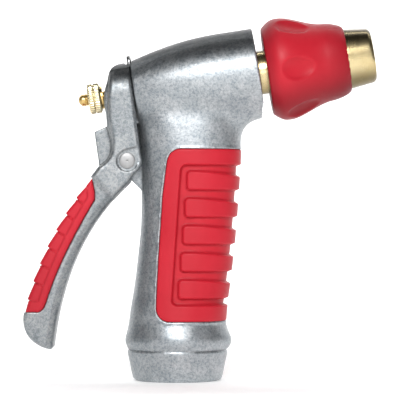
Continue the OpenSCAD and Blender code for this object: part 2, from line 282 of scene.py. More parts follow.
class Nodes:
    """A small helper for wiring a material's nodes."""

    def __init__(self, name):
        self.material = bpy.data.materials.new(name)
        self.material.use_nodes = True
        self.tree = self.material.node_tree
        self.shader = self.tree.nodes["Principled BSDF"]
        self.place = self.add("ShaderNodeTexCoord").outputs["Object"]

    def add(self, kind, **settings):
        node = self.tree.nodes.new(kind)
        for key, value in settings.items():
            setattr(node, key, value)
        return node

    def link(self, a, b):
        self.tree.links.new(a, b)

    @staticmethod
    def solid(colour):
        """An opaque colour, from three parts or from one grey."""
        return (*colour, 1) if isinstance(colour, tuple) else (colour, colour, colour, 1)

    def stretched(self, scale, turn=(0, 0, 0)):
        node = self.add("ShaderNodeMapping")
        node.inputs["Scale"].default_value = scale
        node.inputs["Rotation"].default_value = turn
        self.link(self.place, node.inputs["Vector"])
        return node.outputs["Vector"]

    def noise(self, scale, detail=4.0, rough=0.55, where=None, warp=0.0):
        node = self.add("ShaderNodeTexNoise")
        node.inputs["Scale"].default_value = scale
        node.inputs["Detail"].default_value = detail
        node.inputs["Roughness"].default_value = rough
        node.inputs["Distortion"].default_value = warp
        self.link(where or self.place, node.inputs["Vector"])
        return node.outputs["Fac"]

    def ramp(self, value, *stops):
        node = self.add("ShaderNodeValToRGB")
        ramp = node.color_ramp
        while len(ramp.elements) < len(stops):
            ramp.elements.new(0.5)
        for element, (at, colour) in zip(ramp.elements, stops):
            element.position = at
            element.color = self.solid(colour)
        self.link(value, node.inputs["Fac"])
        return node.outputs["Color"]

    def mix(self, share, a, b, blend="MIX"):
        """Two colours mixed, where the second has this share."""
        node = self.add("ShaderNodeMix", data_type="RGBA", blend_type=blend)
        node.inputs[0].default_value = share
        for socket, value in ((node.inputs[6], a), (node.inputs[7], b)):
            if isinstance(value, (int, float, tuple)):
                socket.default_value = self.solid(value)
            else:
                self.link(value, socket)
        return node.outputs[2]

    def fade(self, direction, start, end):
        """From 0 to 1 as the place moves along a direction, between two distances in mm."""
        reach = self.add("ShaderNodeVectorMath", operation="DOT_PRODUCT")
        reach.inputs[1].default_value = direction
        self.link(self.place, reach.inputs[0])
        span = self.add("ShaderNodeMapRange", interpolation_type="SMOOTHSTEP")
        for name, value in (("From Min", start * MM), ("From Max", end * MM)):
            span.inputs[name].default_value = value
        self.link(reach.outputs["Value"], span.inputs["Value"])
        return span.outputs["Result"]

    def shaded(self, colour, shades):
        """A colour darkened in turn by each painted shade: its direction, its start and end in mm, and the share
        left.
        """
        for direction, start, end, darkest in shades:
            dark = self.ramp(self.fade(direction, start, end), (0, 1.0), (1, darkest))
            colour = self.mix(1.0, colour, dark, "MULTIPLY")
        return colour

    def edges(self):
        """Where the surface bulges or dips, 0.5 where it is flat."""
        return self.add("ShaderNodeNewGeometry").outputs["Pointiness"]

    def bump(self, height, strength, distance):
        node = self.add("ShaderNodeBump")
        node.inputs["Strength"].default_value = strength
        node.inputs["Distance"].default_value = distance
        self.link(height, node.inputs["Height"])
        self.link(node.outputs["Normal"], self.shader.inputs["Normal"])

    def finish(self, colour, rough, metallic, specular=0.5):
        shader = self.shader.inputs
        shader["Metallic"].default_value = metallic
        shader["Specular IOR Level"].default_value = specular
        self.link(colour, shader["Base Color"])
        self.link(rough, shader["Roughness"])
        return self.material


UP_BARREL, DOWN_BARREL = (-SIN, 0, COS), (SIN, 0, -COS)


def cast_metal(name, tint, shades=()):
    """Tumbled casting: finely mottled grey, darker in its pores, with painted shade in its dips and where shades
    says.
    """
    n = Nodes(name)
    cloud = n.ramp(n.noise(150, 5, 0.65, warp=0.8), (0.34, (0.74, 0.77, 0.79)), (0.62, 1.0))
    fleck = n.ramp(n.noise(1000, 5, 0.7, warp=0.2), (0.38, (0.56, 0.60, 0.63)), (0.56, 1.0))
    speck = n.ramp(n.noise(2600, 3, 0.6), (0.36, 0.66), (0.52, 1.0))
    grey = n.mix(1.0, tint, cloud, "MULTIPLY")
    grey = n.mix(0.85, grey, fleck, "MULTIPLY")
    grey = n.mix(0.7, grey, speck, "MULTIPLY")
    grey = n.shaded(grey, shades)
    # Painted shade: the surface's dips are darkened
    metal_dip_shade = n.ramp(n.edges(), (0.45, 0.45), (0.50, 0.80), (0.56, 1.0))
    grey = n.mix(0.75, grey, metal_dip_shade, "MULTIPLY")
    rough = n.ramp(n.noise(500, 4, 0.6), (0.3, 0.32), (0.7, 0.50))
    height = n.mix(0.5, n.noise(1500, 3, 0.6), n.noise(330, 4, 0.5))
    n.bump(height, 0.30, 0.00022)
    return n.finish(grey, rough, 0.80, 0.35)


def red_rubber(name, shades=()):
    """Satin moulded rubber, with painted shade in its dips and where shades says."""
    n = Nodes(name)
    tone = n.noise(45, 4, 0.5)
    red = n.ramp(tone, (0.3, (0.56, 0.016, 0.030)), (0.7, (0.64, 0.024, 0.042)))
    # Painted shade: the surface's dips are darkened
    rubber_dip_shade = n.ramp(n.edges(), (0.47, 0.72), (0.50, 0.97), (0.55, 1.0))
    red = n.mix(0.6, red, rubber_dip_shade, "MULTIPLY")
    red = n.shaded(red, shades)
    rough = n.ramp(n.noise(380, 4, 0.6), (0.3, 0.36), (0.7, 0.50))
    n.bump(n.noise(2600, 3, 0.6), 0.16, 0.00012)
    return n.finish(red, rough, 0.0, 0.22)


def brass(name, light, dark, rough_low, rough_high, shades=()):
    """Turned brass, with fine tool lines round it and painted shade where shades says."""
    n = Nodes(name)
    tilt = math.atan2(SIN, COS)
    lines = n.noise(1.0, 3, 0.6, n.stretched((5200, 60, 60), (0, tilt, 0)))
    tarnish = n.noise(120, 4, 0.6)
    colour = n.ramp(tarnish, (0.32, dark), (0.62, light))
    colour = n.shaded(colour, shades)
    rough = n.ramp(n.mix(0.5, lines, n.noise(300, 3)), (0.3, rough_low), (0.7, rough_high))
    n.bump(lines, 0.10, 0.00006)
    return n.finish(colour, rough, 1.0)


def plain_metal():
    """Drawn steel."""
    n = Nodes("steel")
    grain = n.noise(700, 3, 0.6)
    grey = n.ramp(grain, (0.3, 0.52), (0.7, 0.68))
    rough = n.ramp(grain, (0.3, 0.22), (0.7, 0.38))
    n.bump(grain, 0.1, 0.0001)
    return n.finish(grey, rough, 1.0)


def black_rubber():
    n = Nodes("black_rubber")
    grain = n.noise(900, 3, 0.6)
    black = n.ramp(grain, (0.3, 0.012), (0.7, 0.03))
    rough = n.ramp(grain, (0.3, 0.5), (0.7, 0.7))
    n.bump(grain, 0.2, 0.0001)
    return n.finish(black, rough, 0.0)


def rivet_metal():
    n = Nodes("rivet_metal")
    grain = n.noise(420, 4, 0.6)
    grey = n.ramp(grain, (0.3, 0.36), (0.7, 0.47))
    rough = n.ramp(grain, (0.3, 0.42), (0.7, 0.55))
    n.bump(grain, 0.15, 0.0001)
    return n.finish(grey, rough, 0.95)


# Each painted shade is a direction, where along it the tone starts and stops falling in mm, and the share left
UP, AHEAD, BACK = (0, 0, 1), (1, 0, 0), (-1, 0, 0)
AXIS_LEVEL = AXIS_H * COS
# The trigger: a darker copy of the body's casting, its tint lowered as painted shade, with painted shade on its
# crown
CAST = cast_metal("lever_cast_metal", (0.50, 0.515, 0.52), [(UP, 107, 118, 0.22)])
# The body: painted shade on the barrel's top, and painted shade toward its rear where the trigger stands
BODY_CAST = cast_metal("cast_metal", (0.66, 0.685, 0.70), [
    (UP_BARREL, AXIS_LEVEL + 3, AXIS_LEVEL + 13.5, 0.16),
    (BACK, 0, 17, 0.80)])
RED = red_rubber("red_rubber")
# The pad: painted shade toward the trigger's lower end
PAD_RED = red_rubber("pad_rubber", [(BACK, 34, 60, 0.80)])
# The knob: painted shade below and above the axis, toward its front and toward its back
KNOB_RED = red_rubber("knob_rubber", [
    (DOWN_BARREL, 2 - AXIS_LEVEL, 15 - AXIS_LEVEL, 0.52),
    (UP_BARREL, AXIS_LEVEL + 7, AXIS_LEVEL + 18, 0.75),
    (AHEAD, 48, 66, 0.62),
    (BACK, -40, -33, 0.65)])
# The outlet brass: painted reflection, darker above and below the barrel's axis
POLISHED = brass("polished_brass", (0.86, 0.71, 0.40), (0.77, 0.61, 0.31), 0.20, 0.30, [
    (UP_BARREL, AXIS_LEVEL + 3.5, AXIS_LEVEL + 8.5, 0.16),
    (DOWN_BARREL, 3 - AXIS_LEVEL, 9 - AXIS_LEVEL, 0.28)])
NUT_BRASS = brass("nut_brass", (0.92, 0.82, 0.55), (0.80, 0.68, 0.40), 0.22, 0.32)
BRASS = brass("turned_brass", (0.80, 0.58, 0.24), (0.62, 0.42, 0.15), 0.20, 0.36)
RIVET = rivet_metal()
STEEL = plain_metal()
BLACK = black_rubber()


# --- Cast body ---

# Height, front, rear and half depth of the handle's sections, and how square they are
HANDLE = smooth_table([
    [11.8, 18.7, -18.7, 18.7, 2.0], [13, 19.7, -19.2, 19.0, 2.0], [14.6, 20.4, -19.7, 19.3, 2.0],
    [16.2, 20.4, -19.7, 19.3, 2.0], [18.2, 19.6, -19.2, 18.8, 2.05], [21.5, 18.5, -18.5, 17.9, 2.15],
    [26, 18.6, -17.9, 17.4, 2.3], [34, 19.6, -16.6, 16.8, 2.4], [46, 21.1, -15.1, 16.2, 2.45],
    [58, 22.3, -13.9, 15.7, 2.45], [70, 23.2, -13.6, 15.2, 2.4], [82, 23.9, -13.7, 14.8, 2.4],
    [92, 24.0, -14.8, 14.4, 2.5], [100, 23.6, -15.8, 13.6, 2.5], [107, 22.0, -14.4, 12.0, 2.0],
    [115, 19.0, -12.0, 9.0, 2.0]])
HANDLE_LOW, HANDLE_HIGH = 12, 114
FILLET_BACK, FILLET_FRONT = 5.0, 13.0
BARREL_SIDE = curve((BARREL_BACK, BARREL_BACK_R), (-7.5, 14.2), (3, BARREL_R), (18, BARREL_R), 24)
COLLAR_SIDE = [
    (-1, 15.2), (0, 15.2), (0.35, 16.1), (1.2, 16.9), (2.5, 17.25), (4, 17.6), (6.3, 18.0),
    (8.5, 18.5), (11.0, 18.95), (11.6, 18.7), (12.1, 18.2), (12.8, 18.2)]
COLLAR_HIGH = 12.6

# The lug between the trigger's cheeks, with a boss round the pivot
LUG = [(-8, 99), (-16.1, 98.2), (-18.4, 92), (-21.2, 86.6), (-22.4, 84.4), (-22.4, 81.6), (-21.2, 79.4),
       (-16.9, 75.4), (-13.4, 72.0), (-8, 67)]
LUG_HALF, BOSS_R, BOSS_HALF = 5.0, 4.4, 8.2

# The short wall behind the barrel, round above its axis and straight below, and the room in it for the clip
SKIRT_BACK, SKIRT_R, SKIRT_LOW = -18.1, 7.3, 97.2
ROOM_R, ROOM_LOW, ROOM_FLOOR, ROOM_GAP_HALF = 5.9, 99.5, -15.8, 4.2

# The hose socket with its thread and washer seat, and the water way up from it
THREAD_PITCH, THREAD_CREST_R, THREAD_DEPTH, THREAD_TOP = 2.209, 12.25, 1.15, 11
MOUTH_FLARE, MOUTH_DEPTH = 1.6, 1.4
SEAT_R, SEAT_LOW, SEAT_HIGH = 13.2, 10.6, 13.4
WAY_R, WAY_AHEAD = 6.3, 3.6

# Start, end and radius of the bores along the barrel: for the gland, the neck and the valve
BORES = [(-20, -7.3, 5.55), (13, 40, 7.25), (-4.2, 14, 5.5)]

# The red insert, its sunk field and the pads on it
INSERT_LOW, INSERT_HIGH, INSERT_THICK, POCKET_DEPTH = 22.8, 87.6, 2.35, 2.6
RIM_HEIGHT, RIM_WIDTH = 0.22, 0.45
FIELD_LOW, FIELD_HIGH, FIELD_DEPTH = 28.5, 82.0, 1.75
PADS, PAD_PITCH, PAD_START, PAD_HEIGHT, PAD_DIP, PAD_SHIFT = 5, 10.2, 31.2, 7.6, 1.9, 0.8
INSERT_PROUD, PAD_BELOW = 0.22, 0.12


def handle(x, y, z):
    """Distance to the handle's skin, taken along the line from its middle."""
    front, rear, deep, power = (np.interp(z, HANDLE[:, 0], HANDLE[:, i]) for i in (1, 2, 3, 4))
    dx, half = x - (front + rear) / 2, (front - rear) / 2
    oval = ((np.abs(dx) / half) ** power + (np.abs(y) / deep) ** power) ** (1 / power)
    reach = np.sqrt(dx * dx + y * y)
    return np.where(oval > 0.2, reach * (1 - 1 / np.maximum(oval, 0.2)), -8.0)


def insert_side(x, z, grow=0.0):
    """Side outline of the grip insert: a slanted rear edge and round corners."""
    rear = np.interp(z, [22, 31, 47, 70, 84], [-7.9, -7.8, -7.0, -5.5, -3.7])
    return both(rear - x, between(z, INSERT_LOW, INSERT_HIGH), 5.0) - grow


def barrel_and_handle(x, y, z, u, rho):
    """The barrel and the handle, with a fillet that widens toward the front."""
    barrel = both(turned(u, rho, BARREL_SIDE), between(u, BARREL_BACK, BARREL_FRONT), 0.5)
    grip = np.maximum(handle(x, y, z), between(z, HANDLE_LOW, HANDLE_HIGH))
    solid = either(barrel, grip, FILLET_BACK + (FILLET_FRONT - FILLET_BACK) * step_up(x - 15, 12))
    give = 0.30 * np.maximum(0, 101 - z)
    return np.maximum(solid, between(u, BARREL_BACK - give, BARREL_FRONT + 8 * give))


def with_lug(solid, x, z, side):
    """The casting with its pivot lug and boss."""
    solid = either(solid, both(outline(x, z, LUG), side - LUG_HALF, 0.5), 1.2)
    boss = np.hypot(x - PIVOT[0], z - PIVOT[1]) - BOSS_R
    return np.minimum(solid, np.maximum(boss, side - BOSS_HALF))


def with_skirt(solid, z, side, u, v, rho):
    """The casting with the wall behind the barrel, hollowed for the clip."""
    arch = np.where(v > 0, rho, side)
    skirt = np.maximum(both(arch - SKIRT_R, between(u, SKIRT_BACK, -12), 0.3), SKIRT_LOW - z)
    solid = np.minimum(solid, skirt)
    hollow = np.where(v > 0, arch - ROOM_R, np.maximum(arch - ROOM_R, ROOM_LOW - z))
    hollow = np.minimum(hollow, np.maximum(side - ROOM_GAP_HALF, -v))
    return without(solid, np.maximum(hollow, u - ROOM_FLOOR), 0.2)


def with_insert_pocket(solid, x, y, z):
    """The casting with the pocket that the red insert lies in, and the low rim round it."""
    rim = insert_side(x, z)
    solid = solid - RIM_HEIGHT * np.exp(-((rim - 0.35) / RIM_WIDTH) ** 2) * (x > -12)
    return without(solid, np.maximum(rim - 0.05, -(handle(x, y, z) + POCKET_DEPTH)), 0.15)


def with_water_way(solid, x, y, z, u, rho):
    """The casting with its threaded socket, washer seat, water way and barrel bores."""
    radius = np.sqrt(x * x + y * y)
    turn = np.arctan2(y, x) / (2 * np.pi)
    tooth = np.abs(((z / THREAD_PITCH - turn) % 1) - 0.5) * 2
    flare = MOUTH_FLARE * step_up(MOUTH_DEPTH - z, MOUTH_DEPTH)
    socket = radius - (THREAD_CREST_R + THREAD_DEPTH * step_up(tooth - 0.15, 0.7) + flare)
    solid = without(solid, np.maximum(socket, z - THREAD_TOP))
    solid = without(solid, np.maximum(radius - SEAT_R, between(z, SEAT_LOW, SEAT_HIGH)))
    way = np.sqrt((x - WAY_AHEAD) ** 2 + y * y) - WAY_R
    solid = without(solid, np.maximum(way, between(z, 12, AXIS_H - 2)))
    bores = reduce(np.minimum, [np.maximum(rho - r, between(u, start, end)) for start, end, r in BORES])
    return without(solid, bores, 0.25)


def body_field(x, y, z):
    """The body casting."""
    u, v = barrel_frame(x, z)
    rho, side = np.sqrt(y * y + v * v), np.abs(y)
    collar = turned(z, np.sqrt(x * x + y * y), COLLAR_SIDE)
    solid = barrel_and_handle(x, y, z, u, rho)
    solid = either(solid, np.maximum(collar, between(z, 0, COLLAR_HIGH)), 0.5)
    solid = with_lug(solid, x, z, side)
    solid = with_skirt(solid, z, side, u, v, rho)
    solid = with_insert_pocket(solid, x, y, z)
    return with_water_way(solid, x, y, z, u, rho)


def insert_field(x, y, z):
    """The red insert: a skin over the handle's front, sunk inside its border, with raised pads."""
    skin = handle(x, y, z)
    field_rear = np.interp(z, [28, 82], [-2.6, 1.0])
    field = both(field_rear - x, between(z, FIELD_LOW, FIELD_HIGH), 2.6)
    sunk = 1 - step_up(field + 0.9, 0.9)
    raised = 0.0
    dip = PAD_DIP * np.clip((x - 6) / 18, 0, 1) ** 1.5
    for i in range(PADS):
        low = PAD_START + PAD_PITCH * i
        pad = both(0.2 + PAD_SHIFT * i - x, z - (low + PAD_HEIGHT - dip), 1.8)
        pad = both(pad, low - z - 0.1, 1.5)
        raised = np.maximum(raised, 1 - step_up(pad + 0.75, 0.9))
    height = INSERT_PROUD - FIELD_DEPTH * sunk * (1 - raised) - PAD_BELOW * sunk * raised
    shell = both(skin - height, insert_side(x, z, -0.04), 0.6)
    return np.maximum(shell, -(skin + INSERT_THICK))


# --- Trigger ---

LEVER_INNER = curve((-18.2, 75), (-36.5, 57.4), (-44, 37.3), (-46.9, 12.9), 18)
LEVER_BACK = curve((-31.8, 77.8), (-45.3, 60.9), (-52.9, 45.7), (-57.6, 26.6), 18)
LEVER_TIP = curve((-57.6, 26.6), (-59.5, 19.2), (-55.1, 13.4), (-47.7, 12), 12)
PAD_EDGE = curve((-31, 68.4), (-38.6, 55.8), (-45.3, 43.1), (-49.6, 28.9), 12)
CORE = np.concatenate([
    [(-24, 80), (-30.6, 74)], curve((-31.8, 73.4), (-42.9, 59.2), (-50.2, 44.7), (-54.6, 27), 12),
    [(-54.6, 24), (-48, 24)], LEVER_INNER[:15][::-1]])
ARM = np.concatenate([[(-24, 82), (-29.3, 80.9)], LEVER_BACK, LEVER_TIP, LEVER_INNER[::-1]])
PAD = np.concatenate([LEVER_BACK, [(-57.6, 26.2), (-53.8, 26.2)], arc((-53.4, 29.8), 3.8, -80, -10, 8),
                      PAD_EDGE[::-1], [(-31.0, 71.5), (-31.9, 76)]])
HEAD = np.concatenate([
    [(-18.1, 120.9), (-20.2, 120.6)],
    curve((-20.2, 120.6), (-23.4, 119.8), (-25.4, 118.8), (-26.1, 115.4), 8),
    curve((-26.6, 113), (-28.1, 108.6), (-28.1, 105.2), (-27, 101), 12),
    curve((-26.6, 96.1), (-24.2, 89.2), (-23.6, 84.6), (-29.4, 80.9), 10),
    [(-32.0, 77.3), (-24.4, 69), (-18.2, 75.1)], arc(PIVOT, 5.5, -62, 24, 10)])
# The head's side faces stop short of its crown, so its back edges are cut back
HEAD_SIDE = np.concatenate([
    [(-18.1, 120.9), (-20.2, 120.6)],
    curve((-20.2, 120.6), (-23.2, 119.8), (-25.0, 118.8), (-25.6, 115.4), 8),
    curve((-25.8, 113), (-26.0, 108.6), (-26.0, 104.2), (-25.8, 99), 12),
    curve((-25.4, 96.1), (-23.8, 89.2), (-23.4, 84.6), (-29.4, 80.9), 10),
    [(-32.0, 77.3), (-24.4, 69), (-18.2, 75.1)], arc(PIVOT, 5.5, -62, 24, 10)])
WEB = [(-31.5, 94.2), (-26, 96.6), (-24, 82), (-28.9, 79), (-29.6, 80.6)]
HEAD_HALF, CROWN_HALF, WEB_HALF, CORE_HALF = 11.6, 7.0, 1.6, 9.2

# The channel between the cheeks, and the outline in front of which it lies
CHANNEL_HALF, ROUND_HALF, CHANNEL_BACK, CHANNEL_LOW = 8.5, 8.6, -24.6, 73
CHANNEL_WALL = [(-40, 96.5), (-24.3, 96.5), (-21.2, 76), (-21, 60), (-40, 60)]

# Round the pivot: room for the lug's boss, the pin's hole, and the rivet head's recess with its open front
BOSS_ROOM_R, PIN_HOLE_R, RECESS_R, RECESS_HALF = 5.4, 2.06, 4.1, 11.15
RECESS_OPENING = [(-22.0, 85.6), (-19.4, 87.6), (-10, 89.6), (-10, 82.2), (-15.4, 82.2), (-18.8, 80)]

# The stem's slot and the notch for the clip
SLOT_R, SLOT_RISE, SLOT_FRONT = 2.9, 2.6, -20
NOTCH_HALF, NOTCH_BACK, NOTCH_LOW = 3.9, -18.4, 8


def along(line, x, z):
    """How far along a line of [forward, up] points the nearest point of it lies, and how far away it is."""
    best, where, done = None, None, 0.0
    for (ax, az), (bx, bz) in zip(line[:-1], line[1:]):
        ex, ez = bx - ax, bz - az
        length = math.hypot(ex, ez)
        t = np.clip(((x - ax) * ex + (z - az) * ez) / length ** 2, 0, 1)
        d = (x - ax - t * ex) ** 2 + (z - az - t * ez) ** 2
        here = done + t * length
        where = here if best is None else np.where(d < best, here, where)
        best = d if best is None else np.minimum(best, d)
        done += length
    return where, np.sqrt(best)


def lever_solid(x, z, side, width):
    """The trigger's head, arm, core under the pad and rear web, run into each other."""
    crown = both(outline(x, z, HEAD), side - CROWN_HALF, 1.5)
    head = both(outline(x, z, HEAD_SIDE), width - HEAD_HALF, 1.5)
    head = either(head, np.maximum(crown, width - HEAD_HALF), 1.0)
    web = both(outline(x, z, WEB), side - WEB_HALF, 0.4)
    half = np.interp(z, [12, 26, 60, 78], [9.2, 10.2, 10.6, 10.9])
    thin = 0.5 * np.maximum(0, 2.8 - along(LEVER_INNER, x, z)[1])
    arm = both(outline(x, z, ARM), side - half + thin, 1.6)
    arm = without(arm, outline(x, z, PAD) - 0.06, 0.15)
    core = both(outline(x, z, CORE), side - CORE_HALF, 1.0)
    return either(either(head, np.minimum(arm, core), 2.0), web, 1.0)


def lever_field(x, y, z):
    """The trigger, cut for its channel, pivot, stem and clip. Its top is round about the barrel's axis."""
    u, v = barrel_frame(x, z)
    side = np.abs(y)
    width = np.where(v > 0, np.sqrt(y * y + v * v), side)
    solid = lever_solid(x, z, side, width)
    room = np.maximum(width - ROUND_HALF, between(u, CHANNEL_BACK, 10))
    channel = np.maximum(np.maximum(width - CHANNEL_HALF, CHANNEL_BACK - x), CHANNEL_LOW - z)
    channel = np.where(v > 0, room, np.minimum(channel, room))
    solid = without(solid, np.maximum(channel, -outline(x, z, CHANNEL_WALL)), 0.35)
    from_pivot = np.sqrt((x - PIVOT[0]) ** 2 + (z - PIVOT[1]) ** 2)
    solid = without(solid, np.maximum(from_pivot - BOSS_ROOM_R, side - CHANNEL_HALF), 0.2)
    solid = without(solid, from_pivot - PIN_HOLE_R)
    recess = np.minimum(from_pivot - RECESS_R, outline(x, z, RECESS_OPENING))
    solid = without(solid, np.maximum(recess, RECESS_HALF - side), 0.25)
    slot = np.sqrt(y * y + (v - np.clip(v, 0, SLOT_RISE)) ** 2) - SLOT_R
    solid = without(solid, np.maximum(slot, u - SLOT_FRONT), 0.4)
    notch = np.maximum(np.maximum(side - NOTCH_HALF, between(u, NOTCH_BACK, -10)), NOTCH_LOW - v)
    return without(solid, notch, 0.3)


# The pad's steps: each block falls away down the lever, with a groove before the next, inside a lower border
BLOCK_START, BLOCK_PITCH, BLOCK_COUNT = 4.4, 7.1, 7
BLOCK_FALL, GROOVE_DEPTH, GROOVE_SIDE_DEPTH, BORDER_DROP = 0.75, 1.0, 0.6, 0.55
PAD_HALF, PAD_CORE_HALF = 11.6, 9.3
PAD_FIELD = np.concatenate([
    LEVER_BACK + [[-2.7, 1.3]], [(-55.5, 30.2)], PAD_EDGE[::-1] + [[-2.5, 1.2]], [(-33.8, 72.5)]])


def pad_field(x, y, z):
    """The trigger's red pad."""
    side = np.abs(y)
    down, depth = along(LEVER_BACK, x, z)
    down = down - BLOCK_START
    part = down / BLOCK_PITCH - np.floor(down / BLOCK_PITCH)
    groove = step_up(part - 0.86, 0.05) * (1 - step_up(part - 0.95, 0.05))
    inside = step_up(down, 0.5) * (1 - step_up(down - BLOCK_COUNT * BLOCK_PITCH, 0.5))
    on_blocks = step_up(-outline(x, z, PAD_FIELD), 0.5) * inside
    block_drop = GROOVE_DEPTH * groove + BLOCK_FALL * (1 - part) * (1 - groove)
    drop = on_blocks * block_drop + (1 - on_blocks) * BORDER_DROP
    side_drop = on_blocks * GROOVE_SIDE_DEPTH * groove + (1 - on_blocks) * BORDER_DROP
    shape = np.maximum(outline(x, z, PAD), drop - depth)
    solid = both(shape, side - (PAD_HALF - side_drop), 1.6)
    core = both(outline(x, z, CORE), side - PAD_CORE_HALF, 1.0)
    return without(solid, core - 0.1)


# --- Twist grip ---

GRIP_BACK, GRIP_FRONT = 34.3, 65.3
GRIP_SIDE = np.concatenate([
    curve((34.3, 16.3), (37.2, 19.0), (38.4, 19.4), (40.6, 19.4), 10),
    curve((41, 19.4), (45.5, 19.4), (51.5, 15.4), (56.8, 14.8), 14),
    curve((58, 14.7), (61.5, 14.3), (64.3, 13.2), (65.3, 11.9), 8)])
# A slanted side is nearer than its radius says, by about this much
SLANT = 0.93

# The finger dimples are sunk half ellipsoids round the grip, leaning with its side
DIMPLES, FIRST_DIMPLE, DIMPLE_ALONG, DIMPLE_R = 6, math.radians(4), 45.1, 19.3
DIMPLE_LENGTH, DIMPLE_WIDTH, DIMPLE_DEPTH, DIMPLE_LEAN = 8.0, 5.0, 2.6, math.radians(20)

# Where each stretch of the bore ends along the barrel, and its radius
GRIP_BORE, GRIP_MOUTH_R = [(38.5, 8.8), (41.4, 11.1), (61.95, 10.06)], 11.6


def dimple(out, across, along_it):
    """Distance to an ellipsoid, from a point given along its three axes."""
    sizes = DIMPLE_LENGTH, DIMPLE_WIDTH, DIMPLE_DEPTH
    place = along_it, across, out
    near = np.sqrt(sum((p / size) ** 2 for p, size in zip(place, sizes)))
    steep = np.sqrt(sum((p / size ** 2) ** 2 for p, size in zip(place, sizes)))
    return near * (near - 1) / np.maximum(steep, 1e-6)


def twist_field(x, y, z):
    """The red twist grip."""
    u, v = barrel_frame(x, z)
    rho = np.sqrt(y * y + v * v)
    solid = both(turned(u, rho, GRIP_SIDE) * SLANT, between(u, GRIP_BACK, GRIP_FRONT), 0.4)
    sector = 2 * np.pi / DIMPLES
    angle = np.arctan2(-y, v) - FIRST_DIMPLE
    angle = (angle + np.pi / 2 + sector / 2) % sector - sector / 2
    out, across = rho * np.cos(angle) - DIMPLE_R, rho * np.sin(angle)
    lean_cos, lean_sin = math.cos(DIMPLE_LEAN), math.sin(DIMPLE_LEAN)
    forward = (u - DIMPLE_ALONG) * lean_cos - out * lean_sin
    outward = (u - DIMPLE_ALONG) * lean_sin + out * lean_cos
    solid = without(solid, dimple(outward, across, forward), 0.3)
    hole = np.select([u < end for end, _ in GRIP_BORE], [r for _, r in GRIP_BORE], GRIP_MOUTH_R)
    return without(solid, rho - hole, 0.3)


# --- Turned and small pieces ---

# Outlines of [along the barrel, radius] points
TIP_BORE_R = 6.3
NECK_OUTLINE = [
    (14.22, 4.4), (14.22, 7.15), (30.5, 7.15), (30.7, 6.6), (31.05, 6.6), (31.05, 8.0), (31.3, 8.35),
    (35.6, 8.35), (36, 7.9), (36.2, 6.6), (37, 6.6), (37.4, 7), (47.6, 7), (48, 6.6), (48.4, 6.2),
    (56.6, 6.2), (57, 5.8), (57, 4.4)]
TIP_OUTLINE = [
    (39, 7.08), (39, 10), (40, 10), (40, 9.4), (41.2, 9.4), (41.2, 10), (62, 10), (62, 11.5), (65, 11.45),
    (74.1, 10.3), (75.1, 9.4), (75.1, 8.7), (74.7, 8.2), (70, 5), (68.6, 5), (66, TIP_BORE_R),
    (54.3, TIP_BORE_R), (54.3, 8), (51.9, 8), (51.9, TIP_BORE_R), (50.6, TIP_BORE_R), (50.4, 7.08)]
NUT_OUTLINE = [
    (-34.2, 2.43), (-34.2, 5.1), (-33.7, 5.7), (-32.2, 5.7), (-31.9, 5.2), (-31.6, 5.7), (-29.9, 5.7),
    (-29.25, 4.6), (-29.25, 2.43)]
STEM_R, STEM_PITCH, STEM_THREAD_DEPTH = 2.38, 0.794, 0.32
STEM_THREAD = (-36.2, -19)
STEM_FRONT = [
    (-18.1, STEM_R), (-18, 1.6), (-15.4, 1.6), (-15.3, STEM_R), (-11.6, STEM_R), (-11.5, 1.6), (-8.9, 1.6),
    (-8.8, STEM_R), (14.2, STEM_R), (14.22, 3.3), (15.2, 3.3), (16.4, 2), (63, 2), (66.4, 4.1), (67.2, 4.1),
    (71.6, 1), (71.8, 0.02)]
KNURLS, KNURL_DEPTH, KNURL_OVER_R = 36, 0.28, 5.35
RIVET_HALF, RIVET_HEAD_R, RIVET_R, RIVET_SEAT, RIVET_DOME = 11.5, 3.0, 2.0, 11.0, 0.5


def knurl(u, r, w):
    """Straight knurling on the nut's two bands."""
    on = (r > KNURL_OVER_R) & (u < -29.0)
    return np.where(on, r - KNURL_DEPTH * (0.5 - 0.5 * np.cos(KNURLS * w)), r)


def stem_thread(u, r, w):
    """A thread cut into the rear of the stem."""
    on = (r > 2.3) & (u < STEM_THREAD[1]) & (u > STEM_THREAD[0])
    wave = np.abs(((u / STEM_PITCH - w / (2 * np.pi)) % 1) - 0.5) * 2
    return np.where(on, r - STEM_THREAD_DEPTH * wave, r)


def stem_outline():
    """A domed end, a shaft with a point every 0.1 mm for its thread, and a front with grooves and a cone."""
    dome = arc((-35.62, 0), STEM_R, 180, 90, 8)
    shaft = [(-35.5 + 0.1 * i, STEM_R) for i in range(170)]
    return np.concatenate([dome, shaft, STEM_FRONT, [(0, 0.01)]])


def rivet_outline():
    """A pin with a low dome on each end."""
    cap = arc((0, 0), 1.0, 0, 90, 8)
    right = [(RIVET_HALF + RIVET_DOME * s, 0.01 + (RIVET_HEAD_R - 0.01) * c) for c, s in cap]
    left = [(-u, r) for u, r in right][::-1]
    shank = [(-RIVET_SEAT, RIVET_HEAD_R), (-RIVET_SEAT, RIVET_R),
             (RIVET_SEAT, RIVET_R), (RIVET_SEAT, RIVET_HEAD_R)]
    return np.concatenate([left, shank, right])


def turned_pieces():
    """The brass pieces on the barrel's axis, and the rivet across the pivot."""
    lathe_piece("neck", filled(rounded(NECK_OUTLINE, 0.12)),
                "body", POLISHED, ["nozzle_neck"])
    lathe_piece("outlet_tip", filled(rounded(TIP_OUTLINE, 0.55, 5)),
                "twist_nozzle", POLISHED, ["brass_tip"], segments=128)
    lathe_piece("stem", stem_outline(),
                "stem", BRASS, ["stem_rod"], segments=48, ripple=stem_thread)
    lathe_piece("nut", filled(rounded(NUT_OUTLINE, 0.15, 3), 0.5),
                "nut", NUT_BRASS, ["flow_nut"], segments=KNURLS * 8, ripple=knurl)
    lathe_piece("rivet", rivet_outline(),
                "body", RIVET, ["pivot_pin"], segments=64, across=True)


# The clip's wire, the radius of its cut ends, and where along the barrel it lies
WIRE_R, WIRE_END_R, WIRE_SIDES, CLIP_PLANE = 0.85, 0.6, 20, -16.75


